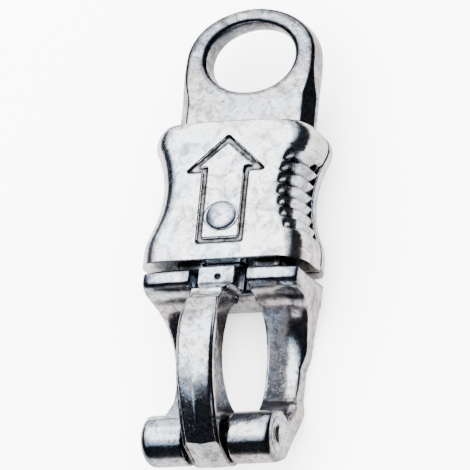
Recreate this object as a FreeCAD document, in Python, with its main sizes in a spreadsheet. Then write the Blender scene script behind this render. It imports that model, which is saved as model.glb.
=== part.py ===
import FreeCAD, Part
import math
import os
import Sketcher

# A quick release panic snap hook, lying on its back.
# X runs across the hook, Y along it towards the eye, Z out of its front face.
# The origin is at the middle of the footprint, level with the lowest point of the fork arms.

DIMENSIONS = [
    # Whole hook
    ("eye_end", 53.0, "from the origin to the top of the eye"),
    ("mid_level", 10.7, "height of the middle of the plate"),
    ("plate_thick", 6.6, "thickness of the eye and shank plate"),
    # Eye
    ("eye_half", 15.6, "half width of the eye"),
    ("eye_rise", 11.7, "from the eye centre to its top"),
    ("eye_hole_half", 10.3, "half width of the eye hole"),
    ("eye_hole_rise", 7.8, "half height of the eye hole"),
    ("eye_round", 1.5, "rounding of the eye rims"),
    # Shank
    ("bevel_end", 32.0, "where the shank bevels stop below the eye"),
    ("bevel", 2.7, "leg of the four shank bevels"),
    ("shank_half", 16.2, "half width of the wide shank"),
    ("stop_level", 22.5, "shoulders of the shank that stop the sleeve"),
    ("tail_half", 12.7, "half width of the narrow shank inside the sleeve"),
    ("spring_slot_half", 3.75, "half width of the spring slot"),
    ("spring_slot_low", -0.75, "jaw end of the spring slot"),
    ("spring_slot_high", 21.0, "eye end of the spring slot"),
    # Fork
    ("fork_top", -9.3, "face of the fork shoulders below the sleeve"),
    ("shoulder_half", 18.6, "half width over the fork shoulders"),
    ("shoulder_front", 19.4, "front of the fork shoulders"),
    ("shoulder_back", 3.8, "back of the fork shoulders"),
    ("band_height", 3.3, "height of the raised band on the shoulders"),
    ("band_step", 1.2, "step from the raised band down to the arms"),
    ("arm_half", 14.8, "half width over the arms at their waist"),
    ("waist_start", -13.9, "where the outsides of the fork start to draw in"),
    ("shoulder_curve", 30, "radius of that bend below the shoulders"),
    ("waist_curve", 18, "radius that leads into the straight of the arms"),
    ("foot_curve", 14, "radius that leads out to the hinge barrels"),
    ("arm_gap_half", 6.6, "half of the gap between the arms"),
    ("web_end", -14.8, "jaw end of the web between the arms"),
    ("ring_centre_along", -30.7, "centre of the ring space, along the hook"),
    ("ring_centre_up", 17.7, "centre of the ring space, height"),
    ("ring_radius", 13.5, "radius of the ring space at the arms"),
    # Hinge
    ("hinge_along", -46.7, "hinge axis, along the hook"),
    ("hinge_up", 13.2, "hinge axis, height"),
    ("barrel_radius", 5.75, "radius of the hinge barrels"),
    ("barrel_half", 15.6, "half length over the hinge barrels"),
    ("barrel_gap_half", 5.3, "half of the gap between the hinge barrels"),
    ("pin_radius", 2.75, "radius of the hinge pin"),
    ("pin_head_radius", 4.35, "radius of the hinge pin head"),
    ("pin_head_thick", 1.1, "thickness of the hinge pin head"),
    ("pin_peen_radius", 3.6, "radius of the peened end of the hinge pin"),
    ("pin_peen_thick", 0.6, "thickness of the peened end"),
    # Jaw
    ("jaw_half", 4.45, "half width of the jaw finger"),
    ("knuckle_radius", 6.3, "radius of the jaw knuckle"),
    ("jaw_running_gap", 0.1, "radial clearance of the jaw on the hinge pin"),
    ("block_front", 20.2, "front of the block at the top of the jaw"),
    ("block_top", -9.3, "top of that block"),
    ("block_low", -13.4, "bottom of that block"),
    ("tongue_tip", -4.4, "tip of the tongue under the sleeve"),
    ("tongue_front", 17.2, "front of the tongue"),
    ("tongue_back", 14.4, "back of the tongue"),
    ("bow_front", 28.5, "front of the bowed finger"),
    ("jaw_front_radius", 37.4, "radius of the long bend down to the nose"),
    ("nose_reach", 3.5, "from the hinge axis to the nose of the jaw, along the hook"),
    ("nose_rise", 7.0, "from the hinge axis to the nose of the jaw, in height"),
    ("jaw_bow_radius", 13.0, "radius of the bowed finger inside"),
    ("dimple_radius", 0.7, "radius of the dimple on the block"),
    # Sleeve
    ("sleeve_top", 24.1, "eye end of the sleeve"),
    ("sleeve_low", -7.9, "jaw end of the sleeve"),
    ("parting_level", 8.9, "height of the joint between the two shells of the sleeve"),
    ("sleeve_front", 20.45, "front of the sleeve"),
    ("sleeve_back", 3.8, "back of the sleeve"),
    ("sleeve_top_half", 19.2, "half width of the sleeve at its eye end"),
    ("sleeve_waist_half", 16.3, "half width of the sleeve at its waist"),
    ("sleeve_foot_half", 19.7, "half width of the sleeve at its jaw end"),
    ("waist_along", 8.8, "the waist, along the hook"),
    ("waist_radius", 20.3, "radius of the hollow of the waist"),
    ("waist_reach", 9.3, "from the waist to each end of its hollow"),
    ("sleeve_front_round", 3.6, "rounding of the sleeve from front to side"),
    ("sleeve_back_round", 1.6, "rounding of the sleeve from back to side"),
    ("bore_gap", 0.25, "clearance between the sleeve and the shank"),
    ("wide_bore_end", 15.0, "jaw end of the wide part of the bore"),
    ("tongue_room", 0.4, "clearance round the tongue in its pocket"),
    ("peg_radius", 1.2, "radius of the pegs that line up the two shells"),
    ("peg_length", 2.0, "length of those pegs"),
    ("peg_low_along", -3.6, "the two pegs nearer the jaw"),
    ("peg_low_across", 16.0, "how far those two pegs are from the middle"),
    ("peg_high_along", 13.0, "the two pegs nearer the eye"),
    ("peg_high_across", 14.7, "how far those two pegs are from the middle"),
    # Grip teeth
    ("tooth_first", 15.4, "middle of the tooth gap nearest the eye"),
    ("tooth_pitch", 2.6, "pitch of the grip teeth"),
    ("tooth_count", 7, "tooth gaps on each side"),
    ("tooth_depth", 1.25, "depth of the tooth gaps"),
    # Arrow
    ("arrow_tip", 20.7, "tip of the engraved arrow"),
    ("arrow_neck", 12.3, "where the arrow head meets its shaft"),
    ("arrow_foot", -4.1, "foot of the arrow shaft"),
    ("arrow_head_half", 9.6, "half width of the arrow head"),
    ("arrow_shaft_half", 5.5, "half width of the arrow shaft"),
    ("arrow_line", 1.2, "width of the engraved line"),
    ("arrow_depth", 0.6, "depth of the engraved line"),
    # Sleeve rivet
    ("rivet_along", 2.0, "the sleeve rivet, along the hook"),
    ("rivet_radius", 2.25, "radius of the rivet stem"),
    ("rivet_head_half", 4.1, "half width of the rivet head"),
    ("rivet_head_rise", 3.4, "half height of the rivet head"),
    ("rivet_head_thick", 0.9, "how far the rivet head stands proud"),
    ("rivet_peen_radius", 3.4, "radius of the peened rivet end"),
    ("rivet_peen_sink", 1.0, "depth of the recess that takes the peened end"),
    # Return spring
    ("spring_radius", 2.65, "radius of the spring coils to the wire centre"),
    ("wire_radius", 0.4, "radius of the spring wire"),
    ("spring_turns", 9, "turns of the spring"),
]

# A cut that removes less than this many cubic millimetres has missed.
SLIM_CUT = 0.01

doc = FreeCAD.newDocument("PanicSnap")
sheet = doc.addObject("Spreadsheet::Sheet", "Dims")
for row, (alias, value, meaning) in enumerate(DIMENSIONS, start=1):
    sheet.set(f"A{row}", alias)
    sheet.set(f"B{row}", str(value))
    sheet.set(f"C{row}", meaning)
    sheet.setAlias(f"B{row}", alias)
doc.recompute()

D = {alias: float(sheet.get(alias)) for alias, value, meaning in DIMENSIONS}


# ---------------------------------------------------------------- helpers

def new_body(label):
    """A sub-part, named by its label."""
    body = doc.addObject("PartDesign::Body", "Body_" + label)
    body.Label = label
    return body


def plane_of(body, role):
    """One of the body's own origin planes or axes."""
    for feature in body.Origin.OriginFeatures:
        if feature.Role == role:
            return feature
    raise ValueError("no origin feature " + role)


def new_sketch(body, name, role, shift=("0", "0", "0")):
    """An empty sketch on an origin plane, moved by three expressions in the sketch's own axes."""
    sketch = body.newObject("Sketcher::SketchObject", name)
    sketch.AttachmentSupport = [(plane_of(body, role), "")]
    sketch.MapMode = "FlatFace"
    for axis, expression in zip("xyz", shift):
        sketch.setExpression("AttachmentOffset.Base." + axis, expression)
    doc.recompute()
    return sketch


def value_of(sketch, expression):
    """The number that an expression in sheet cells stands for."""
    return float(sketch.evalExpression(expression))


def pin_point(sketch, geometry, end, x, y):
    """Hold one point of a sketch at two expressions."""
    for kind, expression in (("DistanceX", x), ("DistanceY", y)):
        number = value_of(sketch, expression)
        index = sketch.addConstraint(Sketcher.Constraint(kind, geometry, end, number))
        sketch.setExpression(f"Constraints[{index}]", expression)


def arc_between(start, end, radius):
    """The short arc from start to end: a positive radius turns left, a negative one right."""
    chord = end - start
    half = chord.Length / 2
    size = abs(radius)
    reach = math.sqrt(max(size * size - half * half, 0.0))
    left = FreeCAD.Vector(-chord.y, chord.x, 0).normalize()
    side = 1 if radius > 0 else -1
    centre = (start + end) * 0.5 + left * reach * side
    first, last = (start, end) if side > 0 else (end, start)
    angle_first = math.atan2(first.y - centre.y, first.x - centre.x)
    angle_last = math.atan2(last.y - centre.y, last.x - centre.x)
    circle = Part.Circle(centre, FreeCAD.Vector(0, 0, 1), size)
    return Part.ArcOfCircle(circle, angle_first, angle_last)


def outline(sketch, corners):
    """A closed loop of corners (x, y) or (x, y, radius), where a radius bends the run that follows."""
    points = [FreeCAD.Vector(value_of(sketch, c[0]), value_of(sketch, c[1]), 0) for c in corners]
    runs = []
    for number, corner in enumerate(corners):
        start = points[number]
        end = points[(number + 1) % len(points)]
        if len(corner) == 2:
            index = sketch.addGeometry(Part.LineSegment(start, end))
            runs.append((index, 1, 2))
            continue
        radius = value_of(sketch, corner[2])
        index = sketch.addGeometry(arc_between(start, end, radius))
        runs.append((index, 1, 2) if radius > 0 else (index, 2, 1))
    for number, (index, first, last) in enumerate(runs):
        following = runs[(number + 1) % len(runs)]
        sketch.addConstraint(Sketcher.Constraint("Coincident", index, last, following[0], following[1]))
    for (index, first, last), corner in zip(runs, corners):
        pin_point(sketch, index, first, corner[0], corner[1])
        if len(corner) == 3:
            number = abs(value_of(sketch, corner[2]))
            radius = sketch.addConstraint(Sketcher.Constraint("Radius", index, number))
            sketch.setExpression(f"Constraints[{radius}]", f"abs({corner[2]})")


def rectangle(sketch, left, right, low, high):
    """An upright rectangle between four expressions."""
    outline(sketch, [(left, low), (right, low), (right, high), (left, high)])


def circle(sketch, x, y, radius):
    """A circle with its centre and radius held by expressions."""
    centre = FreeCAD.Vector(value_of(sketch, x), value_of(sketch, y), 0)
    shape = Part.Circle(centre, FreeCAD.Vector(0, 0, 1), value_of(sketch, radius))
    index = sketch.addGeometry(shape)
    pin_point(sketch, index, 3, x, y)
    size = sketch.addConstraint(Sketcher.Constraint("Radius", index, value_of(sketch, radius)))
    sketch.setExpression(f"Constraints[{size}]", radius)


def ellipse(sketch, y, half_width, half_height):
    """An ellipse on the Y axis of the sketch, wider than it is high."""
    centre = FreeCAD.Vector(0, value_of(sketch, y), 0)
    shape = Part.Ellipse(centre, value_of(sketch, half_width), value_of(sketch, half_height))
    index = sketch.addGeometry(shape)
    sketch.exposeInternalGeometry(index)
    major = index + 1
    minor = index + 2
    pin_point(sketch, index, 3, "0", y)
    sketch.addConstraint(Sketcher.Constraint("Horizontal", major))
    for axis, half in ((major, half_width), (minor, half_height)):
        size = sketch.addConstraint(Sketcher.Constraint("Distance", axis, 2 * value_of(sketch, half)))
        sketch.setExpression(f"Constraints[{size}]", f"2 * ({half})")


def pad(body, name, sketch, length, both_ways=False, reverse=False):
    """Grow a sketch into a solid."""
    feature = body.newObject("PartDesign::Pad", name)
    feature.Profile = sketch
    feature.SideType = "Symmetric" if both_ways else "One side"
    feature.Reversed = reverse
    feature.setExpression("Length", length)
    doc.recompute()
    return feature


def pocket(body, name, sketch, length, both_ways=False, reverse=False):
    """Cut a sketch out of the body, and insist that something was cut."""
    before = body.Tip.Shape.Volume
    feature = body.newObject("PartDesign::Pocket", name)
    feature.Profile = sketch
    feature.SideType = "Symmetric" if both_ways else "One side"
    feature.Reversed = reverse
    feature.setExpression("Length", length)
    doc.recompute()
    if before - feature.Shape.Volume < SLIM_CUT:
        raise RuntimeError(name + " cuts nothing")
    return feature


def revolve(body, name, sketch, axis):
    """Turn a sketch round one of its own axes."""
    feature = body.newObject("PartDesign::Revolution", name)
    feature.Profile = sketch
    feature.ReferenceAxis = (sketch, [axis])
    feature.Angle = 360
    doc.recompute()
    return feature


def fillet(body, name, radius, chosen):
    """Round the edges that the test picks."""
    base = body.Tip
    names = [f"Edge{n}" for n, edge in enumerate(base.Shape.Edges, start=1) if chosen(edge)]
    if not names:
        raise RuntimeError(name + " finds no edge")
    feature = body.newObject("PartDesign::Fillet", name)
    feature.Base = (base, names)
    feature.setExpression("Radius", radius)
    doc.recompute()
    if not feature.isValid():
        raise RuntimeError(name + " fails")
    return feature


def middle(edge):
    """The centre of an edge's box."""
    return edge.BoundBox.Center


def flat_at(edge, level):
    """True for an edge that lies in the plane Z = level."""
    box = edge.BoundBox
    return abs(box.ZMin - level) < 0.01 and abs(box.ZMax - level) < 0.01


# ---------------------------------------------------------------- hook body

def fork_profile(body):
    """Side view of the fork: shoulder, arms that bow back round the ring space, and lugs."""
    sketch = new_sketch(body, "fork_side", "YZ_Plane")
    arm_root = "Dims.fork_top - Dims.band_height - 0.7"
    outline(sketch, [
        ("Dims.fork_top", "Dims.shoulder_front"),
        ("Dims.fork_top - Dims.band_height", "Dims.shoulder_front"),
        (arm_root, "Dims.shoulder_front - Dims.band_step"),
        ("Dims.ring_centre_along + 0.87 * Dims.ring_radius",
         "Dims.ring_centre_up - sqrt(1 - 0.87^2) * Dims.ring_radius",
         "-Dims.ring_radius"),
        ("Dims.ring_centre_along - 0.72 * Dims.ring_radius",
         "Dims.ring_centre_up - sqrt(1 - 0.72^2) * Dims.ring_radius"),
        ("Dims.hinge_along", "Dims.hinge_up"),
        ("Dims.hinge_along - 0.515 * Dims.barrel_radius",
         "Dims.hinge_up - 0.857 * Dims.barrel_radius"),
        ("Dims.ring_centre_along - 8.3", "1.7", "13.3"),
        ("Dims.ring_centre_along - 1.8", "0"),
        ("Dims.ring_centre_along + 3.2", "0", "25"),
        ("Dims.fork_top - 5.2", "Dims.shoulder_back - 0.1", "-8"),
        ("Dims.fork_top - Dims.band_height", "Dims.shoulder_back"),
        ("Dims.fork_top", "Dims.shoulder_back"),
    ])
    return sketch


def fork_waist(body):
    """What is trimmed off both sides of the fork, seen from the front."""
    sketch = new_sketch(body, "fork_waist", "XY_Plane")
    below = "Dims.hinge_along - 12"
    for sign in (1, -1):
        outside = f"{sign} * (Dims.shoulder_half + 5)"
        outline(sketch, [
            (f"{sign} * Dims.shoulder_half", "Dims.waist_start", f"{sign} * Dims.shoulder_curve"),
            (f"{sign} * (Dims.arm_half + 1.2)", "Dims.waist_start - 8", f"{-sign} * Dims.waist_curve"),
            (f"{sign} * Dims.arm_half", "Dims.waist_start - 13.8"),
            (f"{sign} * Dims.arm_half", "Dims.waist_start - 21", f"{-sign} * Dims.foot_curve"),
            (f"{sign} * Dims.barrel_half", "Dims.hinge_along + 3.5"),
            (f"{sign} * Dims.barrel_half", below),
            (outside, below),
            (outside, "Dims.waist_start"),
        ])
    return sketch


def octagon(sketch, half, thick, bevel):
    """A bevelled plate section about the middle level."""
    low = f"Dims.mid_level - {thick} / 2"
    high = f"Dims.mid_level + {thick} / 2"
    outline(sketch, [
        (f"-({half} - {bevel})", low), (f"{half} - {bevel}", low),
        (half, f"{low} + {bevel}"), (half, f"{high} - {bevel}"),
        (f"{half} - {bevel}", high), (f"-({half} - {bevel})", high),
        (f"-({half})", f"{high} - {bevel}"), (f"-({half})", f"{low} + {bevel}"),
    ])


def make_hook_body():
    """Eye, shank, web, shoulders, arms and hinge barrels: one forging."""
    body = new_body("hook_body")
    pad(body, "fork", fork_profile(body), "2 * Dims.shoulder_half", both_ways=True)
    pocket(body, "fork_trim", fork_waist(body), "4 * Dims.bow_front", both_ways=True)

    barrel = new_sketch(body, "barrel_round", "YZ_Plane")
    circle(barrel, "Dims.hinge_along", "Dims.hinge_up", "Dims.barrel_radius")
    pad(body, "barrel", barrel, "2 * Dims.barrel_half", both_ways=True)

    shank = new_sketch(body, "shank_section", "XZ_Plane", ("0", "0", "-Dims.stop_level"))
    octagon(shank, "Dims.shank_half", "Dims.plate_thick", "Dims.bevel")
    pad(body, "shank", shank, "Dims.bevel_end - Dims.stop_level", reverse=True)

    tail = new_sketch(body, "tail_section", "XZ_Plane", ("0", "0", "-Dims.fork_top + 3"))
    octagon(tail, "Dims.tail_half", "Dims.plate_thick", "0.8")
    pad(body, "tail", tail, "Dims.stop_level - Dims.fork_top + 3", reverse=True)

    half_plate = "Dims.mid_level - Dims.plate_thick / 2"
    cheeks = new_sketch(body, "eye_cheeks", "XY_Plane", ("0", "0", half_plate))
    eye_centre = "Dims.eye_end - Dims.eye_rise"
    outline(cheeks, [
        ("-Dims.shank_half + 0.1", "Dims.bevel_end"), ("Dims.shank_half - 0.1", "Dims.bevel_end"),
        ("Dims.eye_half", eye_centre), ("-Dims.eye_half", eye_centre),
    ])
    pad(body, "eye_base", cheeks, "Dims.plate_thick")
    crown = new_sketch(body, "eye_crown", "XY_Plane", ("0", "0", half_plate))
    ellipse(crown, eye_centre, "Dims.eye_half", "Dims.eye_rise")
    pad(body, "eye", crown, "Dims.plate_thick")

    jaw_slot = new_sketch(body, "jaw_slot", "XY_Plane", ("0", "0", "Dims.mid_level + Dims.plate_thick / 2"))
    rectangle(jaw_slot, "-Dims.arm_gap_half", "Dims.arm_gap_half", "Dims.web_end - 8", "Dims.fork_top + 1")
    pocket(body, "jaw_slot_cut", jaw_slot, "Dims.bow_front", reverse=True)

    gap = new_sketch(body, "arm_gap", "XY_Plane")
    below = "Dims.hinge_along - 12"
    taper_end = "Dims.hinge_along + Dims.barrel_radius - 0.7"
    taper_start = "Dims.hinge_along + Dims.barrel_radius + 2"
    outline(gap, [
        ("-Dims.barrel_gap_half", below), ("Dims.barrel_gap_half", below),
        ("Dims.barrel_gap_half", taper_end), ("Dims.arm_gap_half", taper_start),
        ("Dims.arm_gap_half", "Dims.web_end"), ("-Dims.arm_gap_half", "Dims.web_end"),
        ("-Dims.arm_gap_half", taper_start), ("-Dims.barrel_gap_half", taper_end),
    ])
    pocket(body, "arm_gap_cut", gap, "4 * Dims.bow_front", both_ways=True)

    hole = new_sketch(body, "eye_hole", "XY_Plane")
    ellipse(hole, eye_centre, "Dims.eye_hole_half", "Dims.eye_hole_rise")
    pocket(body, "eye_hole_cut", hole, "4 * Dims.bow_front", both_ways=True)

    slot = new_sketch(body, "spring_slot", "XY_Plane")
    left = "-Dims.spring_slot_half"
    right = "Dims.spring_slot_half"
    bend = "Dims.spring_slot_half + 0.01"
    outline(slot, [
        (left, "Dims.spring_slot_low + Dims.spring_slot_half", bend),
        (right, "Dims.spring_slot_low + Dims.spring_slot_half"),
        (right, "Dims.spring_slot_high"), (left, "Dims.spring_slot_high"),
    ])
    pocket(body, "spring_slot_cut", slot, "4 * Dims.bow_front", both_ways=True)

    pin_bore = new_sketch(body, "pin_bore", "YZ_Plane")
    circle(pin_bore, "Dims.hinge_along", "Dims.hinge_up", "Dims.pin_radius")
    pocket(body, "pin_bore_cut", pin_bore, "4 * Dims.barrel_half", both_ways=True)

    levels = (D["mid_level"] - D["plate_thick"] / 2, D["mid_level"] + D["plate_thick"] / 2)
    fillet(body, "eye_rims", "Dims.eye_round", lambda edge: middle(edge).y > D["bevel_end"] + 2
           and any(flat_at(edge, level) for level in levels))
    fillet(body, "band_edge", "1.0", lambda edge: edge.BoundBox.XLength > 8
           and abs(middle(edge).y - (D["fork_top"] - D["band_height"])) < 0.01
           and abs(middle(edge).z - D["shoulder_front"]) < 0.01)
    return body


# ---------------------------------------------------------------- jaw

def make_jaw():
    """The hinged finger: tongue, block, bowed bar and knuckle."""
    body = new_body("jaw")
    side = new_sketch(body, "jaw_side", "YZ_Plane")
    outline(side, [
        ("Dims.tongue_tip", "Dims.tongue_front"),
        ("Dims.block_top", "Dims.tongue_front"),
        ("Dims.block_top", "Dims.block_front"),
        ("Dims.block_low", "Dims.block_front"),
        ("Dims.block_low - 2.6", "Dims.bow_front - 4", "-3.5"),
        ("Dims.block_low - 5.4", "Dims.bow_front - 2", "20"),
        ("Dims.block_low - 13.3", "Dims.bow_front", "Dims.jaw_front_radius"),
        ("Dims.hinge_along - Dims.nose_reach", "Dims.hinge_up + Dims.nose_rise"),
        ("Dims.hinge_along - Dims.knuckle_radius", "Dims.hinge_up", "Dims.knuckle_radius"),
        ("Dims.hinge_along + 0.1 * Dims.knuckle_radius", "Dims.hinge_up - 0.995 * Dims.knuckle_radius",
         "Dims.knuckle_radius"),
        ("Dims.hinge_along + Dims.knuckle_radius", "Dims.hinge_up"),
        ("Dims.hinge_along + Dims.knuckle_radius + 0.4", "Dims.hinge_up + 1.2", "-Dims.jaw_bow_radius"),
        ("Dims.ring_centre_along + 13.3", "Dims.tongue_back + 2.2", "2.5"),
        ("Dims.ring_centre_along + 15.5", "Dims.tongue_back"),
        ("Dims.tongue_tip", "Dims.tongue_back"),
    ])
    pad(body, "finger", side, "2 * Dims.jaw_half", both_ways=True)

    bore = new_sketch(body, "jaw_bore", "YZ_Plane")
    circle(bore, "Dims.hinge_along", "Dims.hinge_up", "Dims.pin_radius + Dims.jaw_running_gap")
    pocket(body, "jaw_bore_cut", bore, "4 * Dims.jaw_half", both_ways=True)

    dimple = new_sketch(body, "jaw_dimple", "XY_Plane", ("0", "0", "Dims.block_front - 0.5"))
    circle(dimple, "0.3", "Dims.block_low + 1.5", "Dims.dimple_radius")
    pocket(body, "jaw_dimple_cut", dimple, "2", reverse=True)

    fillet(body, "finger_edges", "1.0", lambda edge: edge.BoundBox.XLength < 0.01
           and abs(abs(middle(edge).x) - D["jaw_half"]) < 0.01
           and middle(edge).y < D["block_low"] - 3
           and middle(edge).z > D["block_front"] and edge.Length > 6)
    return body


# ---------------------------------------------------------------- sleeve

def sleeve_outline(sketch):
    """The hourglass front view of the sleeve."""
    edge = "Dims.sleeve_waist_half + 2.26"
    high = "Dims.waist_along + Dims.waist_reach"
    low = "Dims.waist_along - Dims.waist_reach"
    foot = "Dims.sleeve_foot_half"
    corner = "Dims.sleeve_top_half - 3"
    outline(sketch, [
        (foot, "Dims.sleeve_low"),
        (foot, "Dims.sleeve_low + 1.9", "12"),
        (edge, low, "-Dims.waist_radius"),
        (edge, high, "4.3"),
        (corner, "Dims.sleeve_top"),
        (f"-({corner})", "Dims.sleeve_top", "4.3"),
        (f"-({edge})", high, "-Dims.waist_radius"),
        (f"-({edge})", low, "12"),
        (f"-({foot})", "Dims.sleeve_low + 1.9"),
        (f"-({foot})", "Dims.sleeve_low"),
    ])


def waist_at(along):
    """Half width of the sleeve at a place along its waist hollow."""
    radius = D["waist_radius"]
    offset = along - D["waist_along"]
    return D["sleeve_waist_half"] + radius - math.sqrt(radius * radius - offset * offset)


def cut_bore(body, name):
    """The stepped bore that runs on the shank, cut from one shell."""
    narrow = new_sketch(body, name + "_bore", "XZ_Plane", ("0", "0", "-Dims.sleeve_low + 1"))
    octagon(narrow, "Dims.tail_half + Dims.bore_gap", "(Dims.plate_thick + 2 * Dims.bore_gap)", "0.8")
    pocket(body, name + "_bore_cut", narrow, "Dims.sleeve_top - Dims.sleeve_low + 2")
    wide = new_sketch(body, name + "_wide_bore", "XZ_Plane", ("0", "0", "-Dims.wide_bore_end"))
    octagon(wide, "Dims.shank_half + Dims.bore_gap", "(Dims.plate_thick + 2 * Dims.bore_gap)", "Dims.bevel")
    pocket(body, name + "_wide_bore_cut", wide, "Dims.sleeve_top - Dims.wide_bore_end + 2")


def pegs(body, name, spread, length, cut):
    """Four pegs on the front shell, or their four sockets in the back shell."""
    sketch = new_sketch(body, name, "XY_Plane", ("0", "0", "Dims.parting_level"))
    for along, across in (("Dims.peg_low_along", "Dims.peg_low_across"),
                          ("Dims.peg_high_along", "Dims.peg_high_across")):
        for side in ("", "-"):
            circle(sketch, side + across, along, "Dims.peg_radius" + spread)
    if cut:
        pocket(body, name + "_cut", sketch, length)
    else:
        pad(body, name + "_pad", sketch, length, reverse=True)


def make_sleeve_front():
    """Front shell of the sleeve: arrow, grip teeth, tongue pocket and rivet hole."""
    body = new_body("sleeve_front")
    face = new_sketch(body, "front_face", "XY_Plane", ("0", "0", "Dims.parting_level"))
    sleeve_outline(face)
    pad(body, "front_block", face, "Dims.sleeve_front - Dims.parting_level")
    fillet(body, "front_round", "Dims.sleeve_front_round", lambda edge: flat_at(edge, D["sleeve_front"])
           and abs(middle(edge).x) > D["sleeve_top_half"] - 3)
    cut_bore(body, "front")

    tongue = new_sketch(body, "tongue_pocket", "XY_Plane", ("0", "0", "Dims.mid_level"))
    side = "Dims.jaw_half + Dims.tongue_room"
    rectangle(tongue, f"-({side})", side, "Dims.sleeve_low - 2", "Dims.tongue_tip + Dims.tongue_room")
    pocket(body, "tongue_pocket_cut", tongue,
           "Dims.tongue_front + Dims.tongue_room - Dims.mid_level", reverse=True)

    teeth = new_sketch(body, "grip_teeth", "XY_Plane", ("0", "0", "Dims.parting_level"))
    for number in range(int(D["tooth_count"])):
        along = D["tooth_first"] - number * D["tooth_pitch"]
        surface = waist_at(along) - D["sleeve_waist_half"]
        for side in ("", "-"):
            place = f"Dims.tooth_first - {number} * Dims.tooth_pitch"
            outer = f"{side}(Dims.sleeve_waist_half + {surface:.3f} + 1.5)"
            inner = f"{side}(Dims.sleeve_waist_half + {surface:.3f} - Dims.tooth_depth)"
            outline(teeth, [
                (outer, f"{place} - 0.75"), (outer, f"{place} + 3.2"),
                (inner, f"{place}"), (inner, f"{place} - 0.3"),
            ])
    pocket(body, "grip_teeth_cut", teeth, "Dims.bow_front", reverse=True)

    arrow = new_sketch(body, "arrow", "XY_Plane", ("0", "0", "Dims.sleeve_front - Dims.arrow_depth"))
    arrow_loop(arrow, "0")
    arrow_loop(arrow, "Dims.arrow_line")
    pocket(body, "arrow_cut", arrow, "2", reverse=True)

    rivet_hole = new_sketch(body, "front_rivet_hole", "XY_Plane")
    circle(rivet_hole, "0", "Dims.rivet_along", "Dims.rivet_radius")
    pocket(body, "front_rivet_hole_cut", rivet_hole, "4 * Dims.bow_front", both_ways=True)
    pegs(body, "pegs", "", "Dims.peg_length", cut=False)
    return body


def arrow_loop(sketch, inset):
    """One outline of the arrow, moved inwards by an expression."""
    outline(sketch, [
        (f"-(Dims.arrow_shaft_half - {inset})", f"Dims.arrow_foot + {inset}"),
        (f"Dims.arrow_shaft_half - {inset}", f"Dims.arrow_foot + {inset}"),
        (f"Dims.arrow_shaft_half - {inset}", f"Dims.arrow_neck + {inset}"),
        (f"Dims.arrow_head_half - 2.6 * {inset}", f"Dims.arrow_neck + {inset}"),
        ("0", f"Dims.arrow_tip - 1.5 * {inset}"),
        (f"-(Dims.arrow_head_half - 2.6 * {inset})", f"Dims.arrow_neck + {inset}"),
        (f"-(Dims.arrow_shaft_half - {inset})", f"Dims.arrow_neck + {inset}"),
    ])


def make_sleeve_back():
    """Back shell of the sleeve, plain, with the recess for the peened rivet end."""
    body = new_body("sleeve_back")
    face = new_sketch(body, "back_face", "XY_Plane", ("0", "0", "Dims.parting_level"))
    sleeve_outline(face)
    pad(body, "back_block", face, "Dims.parting_level - Dims.sleeve_back", reverse=True)
    fillet(body, "back_round", "Dims.sleeve_back_round", lambda edge: flat_at(edge, D["sleeve_back"])
           and abs(middle(edge).x) > D["sleeve_top_half"] - 3)
    cut_bore(body, "back")
    rivet_hole = new_sketch(body, "back_rivet_hole", "XY_Plane")
    circle(rivet_hole, "0", "Dims.rivet_along", "Dims.rivet_radius")
    pocket(body, "back_rivet_hole_cut", rivet_hole, "4 * Dims.bow_front", both_ways=True)
    recess_floor = "Dims.sleeve_back + Dims.rivet_peen_sink"
    recess = new_sketch(body, "rivet_recess", "XY_Plane", ("0", "0", recess_floor))
    circle(recess, "0", "Dims.rivet_along", "Dims.rivet_peen_radius + 0.2")
    pocket(body, "rivet_recess_cut", recess, "Dims.rivet_peen_sink + 1")
    pegs(body, "sockets", " + 0.05", "Dims.peg_length + 0.2", cut=True)
    return body


# ---------------------------------------------------------------- pins and spring

def make_sleeve_rivet():
    """The rivet through the sleeve: oval domed head, stem and peened end."""
    body = new_body("sleeve_rivet")
    stem = new_sketch(body, "rivet_stem", "XY_Plane", ("0", "0", "Dims.sleeve_back + 0.3"))
    circle(stem, "0", "Dims.rivet_along", "Dims.rivet_radius")
    pad(body, "stem", stem, "Dims.sleeve_front - Dims.sleeve_back")
    head = new_sketch(body, "rivet_head", "XY_Plane", ("0", "0", "Dims.sleeve_front"))
    ellipse(head, "Dims.rivet_along", "Dims.rivet_head_half", "Dims.rivet_head_rise")
    pad(body, "head", head, "Dims.rivet_head_thick")
    peen = new_sketch(body, "rivet_peen", "XY_Plane", ("0", "0", "Dims.sleeve_back + 0.3"))
    circle(peen, "0", "Dims.rivet_along", "Dims.rivet_peen_radius")
    pad(body, "peened_end", peen, "Dims.rivet_peen_sink - 0.3")
    fillet(body, "head_round", "Dims.rivet_head_thick - 0.2",
           lambda edge: flat_at(edge, D["sleeve_front"] + D["rivet_head_thick"]))
    return body


def make_hinge_pin():
    """The hinge pin: head on the right, peened end on the left."""
    body = new_body("hinge_pin")
    half = new_sketch(body, "pin_half", "XY_Plane", ("0", "Dims.hinge_along", "Dims.hinge_up"))
    end = "Dims.barrel_half"
    outline(half, [
        (f"-({end} + Dims.pin_peen_thick)", "0"),
        (f"{end} + Dims.pin_head_thick", "0"),
        (f"{end} + Dims.pin_head_thick", "Dims.pin_head_radius - 1.6", "-2.2"),
        (end, "Dims.pin_head_radius"),
        (end, "Dims.pin_radius"),
        (f"-({end})", "Dims.pin_radius"),
        (f"-({end})", "Dims.pin_peen_radius", "-2"),
        (f"-({end} + Dims.pin_peen_thick)", "Dims.pin_peen_radius - 1.2"),
    ])
    revolve(body, "pin", half, "H_Axis")
    return body


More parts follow.
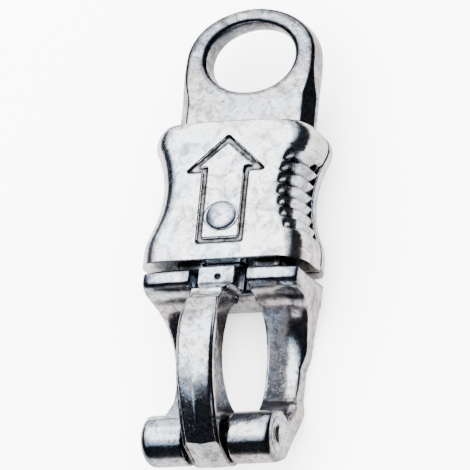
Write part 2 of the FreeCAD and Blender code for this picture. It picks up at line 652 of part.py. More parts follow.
def make_return_spring():
    """The spring in the shank slot that pushes the sleeve back over the tongue."""
    low = D["rivet_along"] + D["rivet_radius"] + D["wire_radius"] + 0.05
    high = D["spring_slot_high"] - D["wire_radius"] - 0.05
    height = high - low
    helix = Part.makeHelix(height / D["spring_turns"], height, D["spring_radius"])
    start = FreeCAD.Vector(D["spring_radius"], 0, 0)
    section = Part.Wire([Part.makeCircle(D["wire_radius"], start, FreeCAD.Vector(0, 1, 0))])
    coil = Part.Wire(helix.Edges).makePipeShell([section], True, True)
    spring = doc.addObject("Part::Feature", "Spring")
    spring.Label = "return_spring"
    spring.Shape = coil
    upright_to_along = FreeCAD.Rotation(FreeCAD.Vector(1, 0, 0), -90)
    spring.Placement = FreeCAD.Placement(FreeCAD.Vector(0, low, D["mid_level"]), upright_to_along)
    return spring


def check(parts):
    """Stop if any object of the document failed, or if a sub-part is not one sound solid."""
    for thing in doc.Objects:
        if "Invalid" in thing.State or "Error" in thing.State:
            raise RuntimeError(f"{thing.Name} failed: {thing.State}")
    for part in parts:
        shape = part.Shape
        if shape.isNull() or not shape.isValid() or len(shape.Solids) != 1:
            raise RuntimeError(part.Label + " is not one sound solid")


parts = [
    make_hook_body(),
    make_jaw(),
    make_sleeve_front(),
    make_sleeve_back(),
    make_sleeve_rivet(),
    make_hinge_pin(),
    make_return_spring(),
]
doc.recompute()
check(parts)

os.makedirs("parts", exist_ok=True)
for part in parts:
    part.Shape.exportStep(f"parts/{part.Label}.step")
    box = part.Shape.BoundBox
    print(f"{part.Label}: {part.Shape.Volume:.0f} mm3, X {box.XMin:.2f}..{box.XMax:.2f}, "
          f"Y {box.YMin:.2f}..{box.YMax:.2f}, Z {box.ZMin:.2f}..{box.ZMax:.2f}")
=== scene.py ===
import math

import bpy
import numpy as np
from mathutils import Matrix, Vector


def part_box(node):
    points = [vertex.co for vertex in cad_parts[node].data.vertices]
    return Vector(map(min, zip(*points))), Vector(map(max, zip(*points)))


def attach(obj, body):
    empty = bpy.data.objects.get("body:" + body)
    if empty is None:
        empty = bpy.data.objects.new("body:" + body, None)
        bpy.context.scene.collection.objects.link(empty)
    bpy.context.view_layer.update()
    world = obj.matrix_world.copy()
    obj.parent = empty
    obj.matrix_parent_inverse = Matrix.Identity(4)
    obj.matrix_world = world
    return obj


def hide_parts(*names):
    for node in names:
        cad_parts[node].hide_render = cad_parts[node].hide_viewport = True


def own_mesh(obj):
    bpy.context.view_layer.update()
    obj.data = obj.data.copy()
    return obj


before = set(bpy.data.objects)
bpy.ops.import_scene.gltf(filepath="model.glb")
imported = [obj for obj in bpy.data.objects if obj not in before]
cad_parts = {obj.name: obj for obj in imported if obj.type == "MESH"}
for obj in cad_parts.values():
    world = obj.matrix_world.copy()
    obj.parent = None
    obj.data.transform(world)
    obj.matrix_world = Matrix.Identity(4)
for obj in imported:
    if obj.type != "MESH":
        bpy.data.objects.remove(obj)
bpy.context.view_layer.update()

# A quick release panic snap hook, lying on its back. Sizes are in metres.
MM = 0.001
MID_LEVEL = 10.7 * MM
PARTING_LEVEL = 8.9 * MM
HALF_PLATE = 3.3 * MM
HINGE = Vector((0, -46.7, 13.2)) * MM
BARREL_RADIUS = 5.75 * MM
BARREL_HALF = 15.6 * MM
EYE_ALONG = 41.3 * MM
EYE_HALF, EYE_RISE = 15.6, 11.7            # outer ellipse of the eye, in millimetres
EYE_HOLE_HALF, EYE_HOLE_RISE = 10.3, 7.8   # its hole, in millimetres
SHANK_HALF = 16.1 * MM
FORK_TOP = -9.3 * MM
SHOULDER_FRONT = 19.4 * MM
RING_ALONG, RING_UP, RING_RADIUS = -30.7 * MM, 17.7 * MM, 13.5 * MM
SLEEVE_FRONT = 20.45 * MM
GRIP_MIDDLE, GRIP_REACH = 8.8 * MM, 8.8 * MM
SCENE = bpy.context.scene


# ---------------------------------------------------------------- mesh helpers

def link(piece):
    """Put an object in the scene."""
    SCENE.collection.objects.link(piece)
    return piece


def apply_modifiers(piece):
    """Turn an object's modifiers into its mesh."""
    graph = bpy.context.evaluated_depsgraph_get()
    mesh = bpy.data.meshes.new_from_object(piece.evaluated_get(graph))
    piece.modifiers.clear()
    piece.data = mesh
    return piece


def read_points(piece):
    """The vertices as rows of x, y and z."""
    points = np.empty(len(piece.data.vertices) * 3)
    piece.data.vertices.foreach_get("co", points)
    return points.reshape(-1, 3)


def write_points(piece, points):
    """Put the vertices back."""
    piece.data.vertices.foreach_set("co", points.ravel())
    piece.data.update()


def read_normals(piece):
    """The vertex normals as rows of x, y and z."""
    normals = np.empty(len(piece.data.vertices) * 3)
    piece.data.vertex_normals.foreach_get("vector", normals)
    return normals.reshape(-1, 3)


def shade_smooth(piece):
    """Smooth shading all over."""
    piece.data.polygons.foreach_set("use_smooth", [True] * len(piece.data.polygons))
    piece.data.update()


def copied(name, node, voxel):
    """A dense, even copy of a CAD node."""
    piece = link(bpy.data.objects.new(name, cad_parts[node].data.copy()))
    piece.data.materials.clear()
    dense = piece.modifiers.new("dense", "REMESH")
    dense.mode = "VOXEL"
    dense.voxel_size = voxel
    apply_modifiers(piece)
    shade_smooth(piece)
    return piece


def wear(piece, passes, weights=None):
    """Round the edges off. Weights from 0 to 1 say how much each vertex takes part."""
    worn = piece.modifiers.new("worn", "SMOOTH")
    worn.factor = 0.5
    worn.iterations = passes
    if weights is not None:
        group = piece.vertex_groups.new(name="wear")
        levels = np.round(np.clip(weights, 0, 1) * 10).astype(int)
        for level in range(1, 11):
            chosen = np.flatnonzero(levels == level)
            if len(chosen):
                group.add(chosen.tolist(), level / 10, "REPLACE")
        worn.vertex_group = "wear"
    apply_modifiers(piece)
    piece.vertex_groups.clear()
    shade_smooth(piece)


def mark_hollows(piece, passes=30):
    """Store how far each vertex lies below (+) or above (-) the surface round it, in millimetres."""
    points = read_points(piece)
    normals = read_normals(piece)
    flatter = link(bpy.data.objects.new("flatter", piece.data.copy()))
    wear(flatter, passes)
    depth = np.einsum("ij,ij->i", read_points(flatter) - points, normals) / MM
    bpy.data.objects.remove(flatter)
    hollow = piece.data.attributes.new("hollow", "FLOAT", "POINT")
    hollow.data.foreach_set("value", depth)


def step(values, low, high):
    """A smooth rise from 0 at low to 1 at high."""
    t = np.clip((values - low) / (high - low), 0, 1)
    return t * t * (3 - 2 * t)


def between_stops(places, stops):
    """A measure that runs in straight lines between stops of (place, measure) in millimetres."""
    at, measures = np.array(stops).T * MM
    return np.interp(places, at, measures)


def waves(points, size, seed):
    """Soft uneven waves of about that size, from -1 to 1."""
    random = np.random.default_rng(seed)
    total = np.zeros(len(points))
    count = 7
    for _ in range(count):
        direction = random.normal(size=3)
        direction /= np.linalg.norm(direction)
        phase = random.uniform(0, 2 * math.pi)
        total += np.sin(points @ direction * 2 * math.pi / (size * random.uniform(0.7, 1.4)) + phase)
    return total / count


def uneven(piece, size, depth, seed):
    """Hand finishing: the surface dips a little, never out of its box."""
    points = read_points(piece)
    dip = depth * (0.5 + 0.5 * waves(points, size, seed))
    write_points(piece, points - read_normals(piece) * dip[:, None])


# ---------------------------------------------------------------- materials

def node(tree, kind, **inputs):
    """A shader node with some of its inputs set."""
    made = tree.nodes.new(kind)
    for key, value in inputs.items():
        made.inputs[key.replace("_", " ")].default_value = value
    return made


def ramp(tree, source, stops):
    """A colour ramp fed by source. Stops are (place, colour)."""
    made = tree.nodes.new("ShaderNodeValToRGB")
    elements = made.color_ramp.elements
    while len(elements) < len(stops):
        elements.new(0.5)
    for element, (place, colour) in zip(elements, stops):
        element.position = place
        element.color = colour if len(colour) == 4 else (*colour, 1)
    tree.links.new(source, made.inputs["Fac"])
    return made.outputs["Color"]


def grey(value):
    """A grey of that brightness."""
    return (value, value, value)


def noise(tree, where, scale, detail, roughness=0.6, distortion=0.0):
    """A noise pattern's value."""
    made = node(tree, "ShaderNodeTexNoise", Scale=scale, Detail=detail, Roughness=roughness)
    made.inputs["Distortion"].default_value = distortion
    tree.links.new(where, made.inputs["Vector"])
    return made.outputs["Fac"]


def mix(tree, kind, amount, first, second):
    """Blend two colours. amount is a number or a socket."""
    made = tree.nodes.new("ShaderNodeMix")
    made.data_type = "RGBA"
    made.blend_type = kind
    for value, socket in ((amount, made.inputs[0]), (first, made.inputs[6]), (second, made.inputs[7])):
        if isinstance(value, bpy.types.NodeSocket):
            tree.links.new(value, socket)
        else:
            socket.default_value = value
    return made.outputs[2]


def maths(tree, kind, first, second, third=None, clamp=False):
    """A math node on a socket. The other operands are sockets or numbers."""
    sums = tree.nodes.new("ShaderNodeMath")
    sums.operation = kind
    sums.use_clamp = clamp
    for socket, value in zip(sums.inputs, (first, second, third)):
        if isinstance(value, bpy.types.NodeSocket):
            tree.links.new(value, socket)
        elif value is not None:
            socket.default_value = value
    return sums.outputs[0]


def along_direction(tree, where, direction):
    """How far a place lies along a direction."""
    product = tree.nodes.new("ShaderNodeVectorMath")
    product.operation = "DOT_PRODUCT"
    product.inputs[1].default_value = direction
    tree.links.new(where, product.inputs[0])
    return product.outputs["Value"]


def share_along(tree, where, axis, low, high):
    """Rises from 0 to 1 between two places on an axis."""
    place = tree.nodes.new("ShaderNodeSeparateXYZ")
    tree.links.new(where, place.inputs[0])
    share = tree.nodes.new("ShaderNodeMapRange")
    share.inputs["From Min"].default_value = low
    share.inputs["From Max"].default_value = high
    tree.links.new(place.outputs[axis], share.inputs["Value"])
    return share.outputs["Result"]


def stretched(tree, where, scale, turn=(0, 0, 0)):
    """The place, stretched and turned, for a grain that runs one way."""
    mapping = tree.nodes.new("ShaderNodeMapping")
    mapping.inputs["Scale"].default_value = scale
    mapping.inputs["Rotation"].default_value = turn
    tree.links.new(where, mapping.inputs["Vector"])
    return mapping.outputs["Vector"]


def bump(tree, height, strength, distance, below=None):
    """A bump layer on top of another."""
    made = node(tree, "ShaderNodeBump", Strength=strength, Distance=distance)
    tree.links.new(height, made.inputs["Height"])
    if below is not None:
        tree.links.new(below, made.inputs["Normal"])
    return made.outputs["Normal"]


def plated_colour(tree, where, patches, bright, dark, patch_scale):
    """Zinc in patches, with stains and a faint blue or pink tint."""
    base = ramp(tree, patches, [(0.34, dark), (0.47, bright), (0.55, bright), (0.70, dark)])
    stains = noise(tree, where, patch_scale * 3.1, 5, 0.7, 1.0)
    base = mix(tree, "MULTIPLY", 1.0, base, ramp(tree, stains, [(0.38, grey(0.42)), (0.53, grey(1.0))]))
    clouds = noise(tree, where, patch_scale * 0.4, 4)
    tint = ramp(tree, clouds, [
        (0.38, (0.76, 0.87, 1.0)), (0.5, (0.97, 0.98, 1.0)), (0.62, (1.0, 0.90, 0.86)),
    ])
    return mix(tree, "MULTIPLY", 0.8, base, tint)


def rubbed_eye(tree, where, base, rubbed):
    """Dark streaks on the eye, where ropes and rings have rubbed it."""
    near_eye = share_along(tree, where, "Y", 22 * MM, 39 * MM)
    streaks = noise(tree, stretched(tree, where, (90, 420, 200)), 1.0, 7, 0.72, 0.8)
    grain = ramp(tree, streaks, [
        (0.34, grey(1 - rubbed)), (0.52, grey(1 - 0.78 * rubbed)), (0.66, grey(1.0)),
    ])
    return mix(tree, "MIX", near_eye, base, mix(tree, "MULTIPLY", 1.0, base, grain))


def pit_marks(tree, where):
    """Ragged pits of two sizes, in groups: 0 in a pit and 1 outside."""
    shake = tree.nodes.new("ShaderNodeVectorMath")
    shake.operation = "MULTIPLY_ADD"
    shake.inputs[1].default_value = (1.6 * MM, 1.6 * MM, 1.6 * MM)
    tree.links.new(noise(tree, where, 1500.0, 3, 0.7), shake.inputs[0])
    tree.links.new(where, shake.inputs[2])
    holes = (1, 1, 1, 1)
    for scale, size, few in ((1100.0, 0.24, 0.54), (520.0, 0.17, 0.60)):
        speck = node(tree, "ShaderNodeTexVoronoi", Scale=scale, Randomness=1.0)
        tree.links.new(shake.outputs[0], speck.inputs["Vector"])
        dots = ramp(tree, speck.outputs["Distance"], [(size * 0.4, grey(0.0)), (size, grey(1.0))])
        groups = noise(tree, where, 190.0 + scale * 0.1, 5)
        elsewhere = ramp(tree, groups, [(few - 0.06, grey(1.0)), (few, grey(0.0))])
        holes = mix(tree, "MULTIPLY", 1.0, holes, mix(tree, "LIGHTEN", 1.0, dots, elsewhere))
    return holes


def gap_shade_and_grime(tree, where, base, grime):
    """Painted shade in narrow gaps and between parts, dirty in hollows, and dull along worn edges."""
    # Painted shade: an occlusion pass turns the colour nearly black in narrow gaps and where parts sit close
    # together.
    gaps = tree.nodes.new("ShaderNodeAmbientOcclusion")
    gaps.samples = 6
    gaps.inputs["Distance"].default_value = 2.2 * MM
    painted_gap_shade = ramp(tree, gaps.outputs["AO"], [(0.22, grey(0.03)), (0.42, grey(0.30)), (0.62, grey(1.0))])
    base = mix(tree, "MULTIPLY", 1.0, base, painted_gap_shade)

    hollow = tree.nodes.new("ShaderNodeAttribute")
    hollow.attribute_name = "hollow"
    ragged = maths(tree, "MULTIPLY_ADD", noise(tree, where, 500.0, 4), 0.10, hollow.outputs["Fac"])
    low = 1.0 - grime
    dirt = ramp(tree, ragged, [
        (0.065, grey(1.0)), (0.105, grey(low + (1 - low) * 0.35)), (0.16, grey(low + (1 - low) * 0.03)),
    ])
    base = mix(tree, "MULTIPLY", 1.0, base, dirt)
    edges = maths(tree, "MULTIPLY", hollow.outputs["Fac"], -1.0)
    worn = ramp(tree, edges, [(0.08, grey(1.0)), (0.24, grey(0.24))])
    return mix(tree, "MULTIPLY", 1.0, base, worn)


def hammered_skin(tree, where, holes, hammer, pits):
    """The normal: a hammered skin, fine grain, pits and scratches."""
    normal = bump(tree, noise(tree, where, 170.0, 3, 0.5), hammer, 0.6 * MM)
    normal = bump(tree, noise(tree, where, 800.0, 4, 0.6), hammer * 0.7, 0.14 * MM, normal)
    normal = bump(tree, holes, 0.35 * pits, 0.06 * MM, normal)
    scratches = noise(tree, stretched(tree, where, (5200, 260, 2600), (0.1, 0.2, 0.35)), 1.0, 3)
    return bump(tree, scratches, 0.10, 0.05 * MM, normal)


def zinc(name, bright, dark, patch_scale, rough, hammer, grime=1.0, pits=0.5, rubbed=0.0):
    """Bright zinc plate: patches, cloudy shine, a hammered skin, pits, scratches, dirt, and painted shade in
    narrow gaps.
    """
    material = bpy.data.materials.new(name)
    material.use_nodes = True
    tree = material.node_tree
    tree.nodes.clear()
    out = tree.nodes.new("ShaderNodeOutputMaterial")
    shader = tree.nodes.new("ShaderNodeBsdfPrincipled")
    tree.links.new(shader.outputs["BSDF"], out.inputs["Surface"])
    shader.inputs["Metallic"].default_value = 1.0
    where = tree.nodes.new("ShaderNodeTexCoord").outputs["Object"]

    patches = noise(tree, where, patch_scale, 7, 0.66, 0.5)
    base = plated_colour(tree, where, patches, bright, dark, patch_scale)
    if rubbed:
        base = rubbed_eye(tree, where, base, rubbed)
    holes = pit_marks(tree, where)
    base = mix(tree, "MULTIPLY", 1.0, base, mix(tree, "MIX", pits, (1, 1, 1, 1), holes))
    # The colour gets painted shade in narrow gaps, as well as dirt in hollows and dull worn edges.
    tree.links.new(gap_shade_and_grime(tree, where, base, grime), shader.inputs["Base Color"])

    shine = ramp(tree, patches, [(0.3, grey(rough + 0.12)), (0.48, grey(rough)), (0.75, grey(rough + 0.08))])
    tree.links.new(shine, shader.inputs["Roughness"])
    tree.links.new(hammered_skin(tree, where, holes, hammer, pits), shader.inputs["Normal"])
    return material


def dress(piece, material, slot, body, *nodes):
    """Give a piece its material, its body and the CAD nodes it stands for. The slot is not used."""
    piece.data.materials.clear()
    piece.data.materials.append(material)
    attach(piece, body)
    if nodes:
        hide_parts(*nodes)


# ---------------------------------------------------------------- pieces

def round_arms(points):
    """Shape the arms: hollow below the shoulders, and outer edges that roll over."""
    across, along, up = np.abs(points[:, 0]), points[:, 1], points[:, 2]
    waist, root_start = -29 * MM, -18.95 * MM
    reach = np.clip(along - RING_ALONG, -9.7 * MM, 11.75 * MM)
    bowed = RING_UP - np.sqrt(RING_RADIUS ** 2 - reach ** 2)
    root = between_stops(along, ((-18.95, 11.04), (-13.3, 18.2), (-12.6, 19.4)))
    front = np.where(along > root_start, root, bowed)
    share = np.clip((along - waist) / (15.2 * MM), 0, 1)
    hollow = 4.2 * MM + 13.2 * MM * (1 - np.sqrt(1 - share ** 2.2))
    wanted = np.where((along > waist) & (along < -14.2 * MM), np.minimum(hollow, front), front)
    outside = between_stops(along, ((-35, 14.8), (-28, 14.9), (-20, 16.6), (-13, 18.6)))
    flat_half = 11 * MM
    rolled = np.clip((across - flat_half) / (outside - flat_half), 0, 1) ** 3
    drop = between_stops(along, ((-46, 0), (-38, 0.3), (-30, 0.6), (-22, 1.4), (-12, 1.3)))
    still = 0.35 * front
    squash = np.clip((wanted - drop * rolled - still) / (front - still), 0.2, 1)
    fork = (along < FORK_TOP + 0.4 * MM) & (along > -46 * MM) & (up > still)
    return np.where(fork, still + (up - still) * squash, up)


def round_barrels(points):
    """Roll the ends of the hinge barrels over, more at the left where no pin head sits."""
    across, side = np.abs(points[:, 0]), np.sign(points[:, 0])
    along, up = points[:, 1] - HINGE.y, points[:, 2] - HINGE.z
    away = np.hypot(along, up) + 1e-9
    bend = np.where(side < 0, 2.2, 1.2) * MM
    past = np.clip(across - (BARREL_HALF - bend), 0, bend)
    limit = BARREL_RADIUS - bend + np.sqrt(bend ** 2 - past ** 2)
    free = step((0.85 * up - 0.5 * along) / away, -0.35, 0.1) * (away < 6.3 * MM) * (away > 2.9 * MM)
    shrink = 1 + (np.minimum(limit / away, 1) - 1) * free
    return along * shrink + HINGE.y, up * shrink + HINGE.z


def run_out_bevels(points, beside):
    """Let the shank bevels fade into the rims of the eye, where the forging has no step."""
    along = points[:, 1]
    leg = between_stops(along, ((31, 2.7), (32, 2.6), (34.2, 1.9), (37.5, 1.1), (43, 0.5)))
    off_middle = points[:, 2] - MID_LEVEL
    left_over = beside - np.abs(points[:, 0]) + HALF_PLATE - np.abs(off_middle)
    cut = np.where(along > 31.6 * MM, np.clip(leg - left_over, 0, None), 0) / 2
    points = points.copy()
    points[:, 0] -= np.sign(points[:, 0]) * cut
    points[:, 2] -= np.sign(off_middle) * cut
    return points


def round_eye(points):
    """Give the ring of the eye a rounder section: both of its rims roll over."""
    bend = 1.9 * MM
    hole_mean, outer_mean = 9.0, 13.4
    x, y = points[:, 0], points[:, 1] - EYE_ALONG
    above = y > 0
    inner = np.stack([x / EYE_HOLE_HALF ** 2, y / EYE_HOLE_RISE ** 2], axis=1)
    inner /= np.linalg.norm(inner, axis=1)[:, None] + 1e-9
    outer = np.stack([x / EYE_HALF ** 2, np.where(above, y / EYE_RISE ** 2, 0)], axis=1)
    outer /= np.linalg.norm(outer, axis=1)[:, None] + 1e-9
    from_hole = (np.hypot(x / EYE_HOLE_HALF, y / EYE_HOLE_RISE) - MM) * hole_mean
    beside = np.interp(y, [-9.3 * MM, 0], [SHANK_HALF, EYE_HALF * MM])
    from_crown = (MM - np.hypot(x / EYE_HALF, y / EYE_RISE)) * outer_mean
    to_edge = np.where(above, from_crown, beside - np.abs(x))
    hole_side = from_hole < to_edge
    inwards = np.clip(np.where(hole_side, from_hole, to_edge), 0, None)
    direction = np.where(hole_side[:, None], inner, -outer)
    points = run_out_bevels(points, beside)
    a = bend - inwards
    b = np.abs(points[:, 2] - MID_LEVEL) - (HALF_PLATE - bend)
    away = np.hypot(a, b)
    amount = (a > 0) & (b > 0) & (away > bend)
    blend = np.where(amount, step(points[:, 1], 31.5 * MM, 35 * MM), 0)
    scale = bend / np.maximum(away, 1e-9)
    moved = points.copy()
    moved[:, :2] += direction * (a * (1 - scale) * blend)[:, None]
    level = (HALF_PLATE - bend) + b * (1 - (1 - scale) * blend)
    side = np.sign(points[:, 2] - MID_LEVEL)
    moved[:, 2] = np.where(amount, MID_LEVEL + side * level, points[:, 2])
    return moved


def make_body(material):
    """Eye, shank, fork, arms and barrels: one forging."""
    piece = copied("hook_body_forging", "hook_body", 0.38 * MM)
    points = read_points(piece)
    bend = 1.0 * MM
    below = np.clip(points[:, 1] - (FORK_TOP - bend), 0, bend)
    highest = SHOULDER_FRONT - bend + np.sqrt(bend ** 2 - below ** 2)
    points[:, 2] = np.where(points[:, 1] < 0, np.minimum(points[:, 2], highest), points[:, 2])
    points[:, 2] = round_arms(points)
    points[:, 1], points[:, 2] = round_barrels(points)
    points = round_eye(points)
    write_points(piece, points)
    wear(piece, 4)
    points = read_points(piece)
    across = np.abs(points[:, 0])
    along, up = points[:, 1], points[:, 2]
    eye = step(along, 32 * MM, 34.5 * MM)
    shoulders = 0.35 * step(across, 12 * MM, 14 * MM) * step(up, 4 * MM, 8 * MM)
    shoulders *= step(along, -28 * MM, -22 * MM) * (along < FORK_TOP + 0.4 * MM)
    arm_roots = step(along, -28 * MM, -23 * MM) * (1 - step(along, -15.5 * MM, -14 * MM))
    arm_roots *= 0.9 * step(across, 6.8 * MM, 8.5 * MM) * step(up, 3 * MM, 5 * MM)
    wear(piece, 30, np.maximum.reduce([0.4 * eye, shoulders, arm_roots]))
    uneven(piece, 9 * MM, 0.12 * MM, 3)
    mark_hollows(piece)
    dress(piece, material, "forging", "base", "hook_body")


def make_jaw(material):
    """The finger, with the low ridge that its forging dies leave down the front."""
    piece = copied("jaw_finger", "jaw", 0.25 * MM)
    points = read_points(piece)
    neck = step(-points[:, 1], 13.6 * MM, 15.2 * MM) * (1 - step(-points[:, 1], 17.0 * MM, 25.0 * MM))
    points[:, 0] *= 1 - 0.16 * neck
    write_points(piece, points)
    wear(piece, 6)
    points = read_points(piece)
    normals = read_normals(piece)
    bowed = step(-points[:, 1], 14.8 * MM, 17.5 * MM)
    facing_out = step(normals[:, 2] - 0.7 * normals[:, 1], 0.0, 0.7)
    pitch = 0.09 + 0.12 * step(-points[:, 1], 36 * MM, 44 * MM)
    slope = pitch * np.abs(points[:, 0]) * bowed * facing_out
    write_points(piece, points - normals * slope[:, None])
    wear(piece, 2)
    uneven(piece, 8 * MM, 0.07 * MM, 11)
    mark_hollows(piece)
    dress(piece, material, "jaw_forging", "jaw", "jaw")


def sleeve_edge(piece):
    """Half width of the sleeve for every vertex, as if it had no grip teeth."""
    points = read_points(piece)
    across, along, up = np.abs(points[:, 0]), points[:, 1], points[:, 2]
    low, gap = -8.1 * MM, 0.3 * MM
    bins = ((along - low) / gap).astype(int)
    widest = np.zeros(bins.max() + 1)
    side = (up > MID_LEVEL) & (up < MID_LEVEL + 4 * MM)
    np.maximum.at(widest, bins[side], across[side])
    middles = low + (np.arange(len(widest)) + 0.5) * gap
    waist, radius = 16.3 * MM, 20.3 * MM
    offset = np.clip(along - GRIP_MIDDLE, -GRIP_REACH, GRIP_REACH)
    hollow = waist + radius - np.sqrt(radius ** 2 - offset ** 2)
    meeting = waist + radius - math.sqrt(radius ** 2 - GRIP_REACH ** 2)
    start, end = GRIP_MIDDLE - GRIP_REACH, GRIP_MIDDLE + GRIP_REACH
    below = (widest > 0) & (middles < start - 1.7 * MM)
    above = (widest > 0) & (middles > end + 0.2 * MM)
    places = np.concatenate([middles[below], [start, end], middles[above]])
    widths = np.concatenate([widest[below], [meeting, meeting], widest[above]])
    outline = np.interp(along, places, widths)
    return np.where(np.abs(along - GRIP_MIDDLE) < GRIP_REACH, hollow, outline)


def tooth_depth(along):
    """How deep the saw teeth of the grip are at a place along the sleeve, from 0 to 1."""
    crest, pitch, gaps = 16.85 * MM, 2.6 * MM, 7
    down = (crest - along) / pitch
    place = down - np.floor(down)
    inside = (down > 0) & (down < gaps)
    return np.where(inside, np.minimum(place / 0.74, 1) * (1 - step(place, 0.80, 0.98)), 0)


def round_sleeve(points, normals, edge):
    """The front shell with wide rounded corners, grip teeth cut round them and a ragged joint edge."""
    corner, tooth = 5.9 * MM, 1.35 * MM
    side = np.sign(points[:, 0])
    out = np.abs(points[:, 0]) - (edge - corner)
    up = points[:, 2] - (SLEEVE_FRONT - corner)
    outward = side * normals[:, 0] * np.clip(out, 0, None) / corner + normals[:, 2] * (up > 0)
    depth_now = np.where(up > 0, corner - np.hypot(out, up), corner - out)
    outer = (out > 0) & ((depth_now < 0) | ((depth_now < 2.2 * MM) & (outward > 0.12)))
    angle = np.where(up > 0, np.arctan2(out, np.maximum(up, 0)), math.pi / 2)
    teeth_start = np.where(side > 0, 0.30, 1.35)
    teeth = tooth_depth(points[:, 1]) * step(angle, teeth_start, teeth_start + 0.45) * tooth
    target = corner - teeth
    new_out = np.sin(angle) * target
    new_up = np.where(up > 0, np.cos(angle) * target, up)
    between_ends = (points[:, 1] < 22.4 * MM) & (points[:, 1] > -6.6 * MM)
    new_across, new_level = edge - corner + new_out, SLEEVE_FRONT - corner + new_up
    new_across = np.where(between_ends, new_across, np.minimum(new_across, np.abs(points[:, 0])))
    new_level = np.where(between_ends, new_level, np.minimum(new_level, points[:, 2]))
    rounded = points.copy()
    rounded[:, 0] = np.where(outer, side * new_across, points[:, 0])
    rounded[:, 2] = np.where(outer, new_level, points[:, 2])
    near_joint = 1 - step(rounded[:, 2] - PARTING_LEVEL, 0.1 * MM, 0.8 * MM)
    ragged = (0.26 + 0.2 * waves(rounded, 2.0 * MM, 5)) * MM
    rounded[:, 0] -= side * near_joint * (outer & between_ends) * ragged
    return rounded


def make_sleeve_front(material):
    """Front shell of the grip sleeve."""
    piece = copied("sleeve_front_shell", "sleeve_front", 0.225 * MM)
    write_points(piece, round_sleeve(read_points(piece), read_normals(piece), sleeve_edge(piece)))
    wear(piece, 3)
    uneven(piece, 10 * MM, 0.06 * MM, 21)
    mark_hollows(piece)
    dress(piece, material, "sleeve_casting", "sleeve", "sleeve_front")


def make_sleeve_back(material):
    """Back shell, whose sides lean inwards towards the back."""
    piece = copied("sleeve_back_shell", "sleeve_back", 0.34 * MM)
    points = read_points(piece)
    lean = np.clip((PARTING_LEVEL - 1.2 * MM - points[:, 2]) / (3.9 * MM), 0, 1) ** 1.5
    outside = step(np.abs(points[:, 0]), 12.5 * MM, 17 * MM)
    points[:, 0] *= 1 - 0.085 * lean * outside
    write_points(piece, points)
    wear(piece, 5)
    uneven(piece, 9 * MM, 0.06 * MM, 8)
    mark_hollows(piece)
    dress(piece, material, "sleeve_casting", "sleeve", "sleeve_back")


def make_rivet(material):
    """The sleeve rivet, with a domed oval head and a punched dimple in it."""
    piece = copied("sleeve_rivet_head_and_stem", "sleeve_rivet", 0.16 * MM)
    wear(piece, 8)
    points = read_points(piece)
    away = np.hypot(points[:, 0], points[:, 1] - 2.0 * MM)
    on_head = points[:, 2] > 20.8 * MM
    crown = 1.15 * MM * (away / (4.1 * MM)) ** 2.4
    punch = 0.14 * MM * (1 - step(away, 0.1 * MM, 0.6 * MM))
    points[:, 2] -= on_head * (crown + punch)
    write_points(piece, points)
    mark_hollows(piece)
    dress(piece, material, "rivet_steel", "sleeve", "sleeve_rivet")


def make_pin(material):
    """The hinge pin with its two upset ends."""
    piece = copied("hinge_cross_pin", "hinge_pin", 0.2 * MM)
    wear(piece, 5)
    uneven(piece, 5 * MM, 0.05 * MM, 31)
    mark_hollows(piece)
    dress(piece, material, "rivet_steel", "base", "hinge_pin")


def coil_mesh(low, high, wire, turns):
    """A tube that winds round the Y axis between two corners of a box, with its ends closed."""
    per_turn, ring = 28, 8
    radius = (high[0] - low[0]) / 2 - wire
    bottom, top = low[1] + wire, high[1] - wire
    middle = Vector((0, 0, (low[2] + high[2]) / 2))
    total = turns * per_turn
    vertices, faces = [], []
    for number in range(total + 1):
        share = number / total
        angle = 2 * math.pi * turns * share
        along = bottom + (top - bottom) * share
        centre = middle + Vector((radius * math.cos(angle), along, radius * math.sin(angle)))
        outwards = Vector((math.cos(angle), 0, math.sin(angle)))
        for corner in range(ring):
            turn = 2 * math.pi * corner / ring
            offset = outwards * math.cos(turn) + Vector((0, 1, 0)) * math.sin(turn)
            vertices.append(tuple(centre + offset * wire))
    for number in range(total):
        for corner in range(ring):
            here = number * ring + corner
            beside = number * ring + (corner + 1) % ring
            faces.append((here, beside, beside + ring, here + ring))
    faces.append(tuple(range(ring)))
    faces.append(tuple(total * ring + corner for corner in reversed(range(ring))))
    mesh = bpy.data.meshes.new("return_spring_coil")
    mesh.from_pydata(vertices, [], faces)
    mesh.update()
    return mesh


def make_spring(material):
    """The return spring: nine turns of wire, squeezed as the sleeve slides."""
    low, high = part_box("return_spring")
    mesh = coil_mesh(low, high, wire=0.4 * MM, turns=9)
    piece = link(bpy.data.objects.new("return_spring_coil", mesh))
    shade_smooth(piece)
    dress(piece, material, "spring_wire", "base", "return_spring")
    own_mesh(piece)


# ---------------------------------------------------------------- camera, floor and light

CAMERA_RIGHT = Vector((0.9153, 0.0906, -0.3924)).normalized()
CAMERA_UP = Vector((0.0501, 0.9412, 0.3342))
CAMERA_AIM = Vector((-0.74, 1.06, 10.7)) * MM
CAMERA_DISTANCE = 3.0
CAMERA_LENS = 1057.0
PALE = (0.95, 0.95, 0.955, 1)


def make_camera():
    """A long lens at the angle from which the hook is usually shown: from its jaw end and its right."""
    up = (CAMERA_UP - CAMERA_RIGHT * CAMERA_UP.dot(CAMERA_RIGHT)).normalized()
    back = CAMERA_RIGHT.cross(up)
    data = bpy.data.cameras.new("camera")
    data.lens = CAMERA_LENS
    data.sensor_width = 36
    data.clip_start = 0.01
    data.dof.use_dof = False
    camera = link(bpy.data.objects.new("camera", data))
    turn = Matrix((CAMERA_RIGHT, up, back)).transposed().to_4x4()
    camera.matrix_world = Matrix.Translation(CAMERA_AIM + back * CAMERA_DISTANCE) @ turn
    SCENE.camera = camera


def seen_in_shine(tree, plain, shine):
    """One shader for the camera and for soft light, and another for what shines."""
    seen = tree.nodes.new("ShaderNodeLightPath")
    both = tree.nodes.new("ShaderNodeMixShader")
    tree.links.new(seen.outputs["Is Glossy Ray"], both.inputs[0])
    tree.links.new(plain, both.inputs[1])
    tree.links.new(shine, both.inputs[2])
    return both.outputs["Shader"]


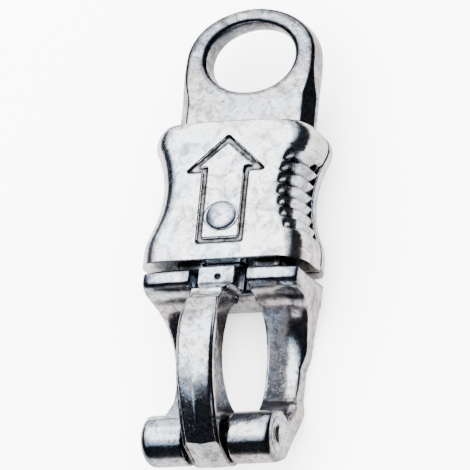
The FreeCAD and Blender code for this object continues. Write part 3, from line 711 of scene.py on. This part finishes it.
def make_floor():
    """A plain pale floor that is no piece of the hook. The metal sees it grey, and dark far off."""
    half = 3.0
    corners = [(-half, -half, 0), (half, -half, 0), (half, half, 0), (-half, half, 0)]
    mesh = bpy.data.meshes.new("floor")
    mesh.from_pydata(corners, [], [(0, 1, 2, 3)])
    floor = link(bpy.data.objects.new("floor", mesh))
    floor.location.z = -0.02 * MM
    material = bpy.data.materials.new("pale_floor")
    material.use_nodes = True
    tree = material.node_tree
    tree.nodes.clear()
    out = tree.nodes.new("ShaderNodeOutputMaterial")
    plain = node(tree, "ShaderNodeBsdfDiffuse", Color=PALE)
    shine = tree.nodes.new("ShaderNodeBsdfDiffuse")
    where = tree.nodes.new("ShaderNodeTexCoord").outputs["Object"]
    near_grey = (0.33, 0.31, 0.30)
    shade = ramp(tree, share_along(tree, where, "Y", -0.16, 0.10), [
        (0.0, (0.016, 0.015, 0.015)), (0.5, near_grey), (0.85, near_grey), (0.95, grey(0.02)),
    ])
    tree.links.new(shade, shine.inputs["Color"])
    tree.links.new(seen_in_shine(tree, plain.outputs["BSDF"], shine.outputs["BSDF"]), out.inputs["Surface"])
    floor.data.materials.append(material)


def make_world():
    """A light tent: bright overhead and behind, dark low down, in what shines. All else gets even light."""
    world = bpy.data.worlds.new("tent")
    SCENE.world = world
    world.cycles.sampling_method = "NONE"
    world.use_nodes = True
    tree = world.node_tree
    tree.nodes.clear()
    out = tree.nodes.new("ShaderNodeOutputWorld")
    tent = node(tree, "ShaderNodeBackground", Strength=3.2)
    even = node(tree, "ShaderNodeBackground", Color=PALE, Strength=11.0)
    where = tree.nodes.new("ShaderNodeTexCoord").outputs["Generated"]
    overhead = along_direction(tree, where, (-0.65, 0.70, 1.0))
    far_left = maths(tree, "SUBTRACT", along_direction(tree, where, (-2.3, 0, 0)), 1.42, clamp=True)
    height = maths(tree, "MULTIPLY", maths(tree, "SUBTRACT", overhead, far_left), 0.5)
    light = ramp(tree, height, [
        (0.0, (0.006, 0.007, 0.009)), (0.30, (0.002, 0.003, 0.004)), (0.37, (0.22, 0.27, 0.34)),
        (0.46, (0.62, 0.67, 0.74)), (0.58, grey(0.92)),
    ])
    tree.links.new(light, tent.inputs["Color"])
    shader = seen_in_shine(tree, even.outputs["Background"], tent.outputs["Background"])
    tree.links.new(shader, out.inputs["Surface"])


def area_light(name, place, aim, size, power):
    """A soft square light."""
    data = bpy.data.lights.new(name, "AREA")
    data.size = size
    data.energy = power
    lamp = link(bpy.data.objects.new(name, data))
    lamp.location = place
    lamp.rotation_euler = (Vector(aim) - Vector(place)).to_track_quat("-Z", "Y").to_euler()


def main():
    """Build every piece, then the stage."""
    forged = zinc(
        "forged_zinc", (0.60, 0.62, 0.65), (0.24, 0.25, 0.28), 170.0, 0.13, 0.22, pits=0.85, rubbed=0.62,
    )
    cast = zinc("cast_zinc", (0.76, 0.77, 0.79), (0.40, 0.41, 0.44), 120.0, 0.16, 0.14, pits=0.7)
    upset = zinc("upset_zinc", (0.70, 0.71, 0.74), (0.40, 0.41, 0.43), 190.0, 0.22, 0.14, pits=0.5)
    wire = zinc("spring_wire", (0.50, 0.50, 0.51), (0.30, 0.30, 0.31), 200.0, 0.30, 0.10, grime=0.4, pits=0.2)
    make_body(forged)
    make_jaw(forged)
    make_sleeve_front(cast)
    make_sleeve_back(cast)
    make_rivet(upset)
    make_pin(upset)
    make_spring(wire)
    make_camera()
    make_floor()
    make_world()
    area_light("overhead", (-0.25, 0.25, 0.9), (0, 0, 0), 0.9, 8.0)


main()
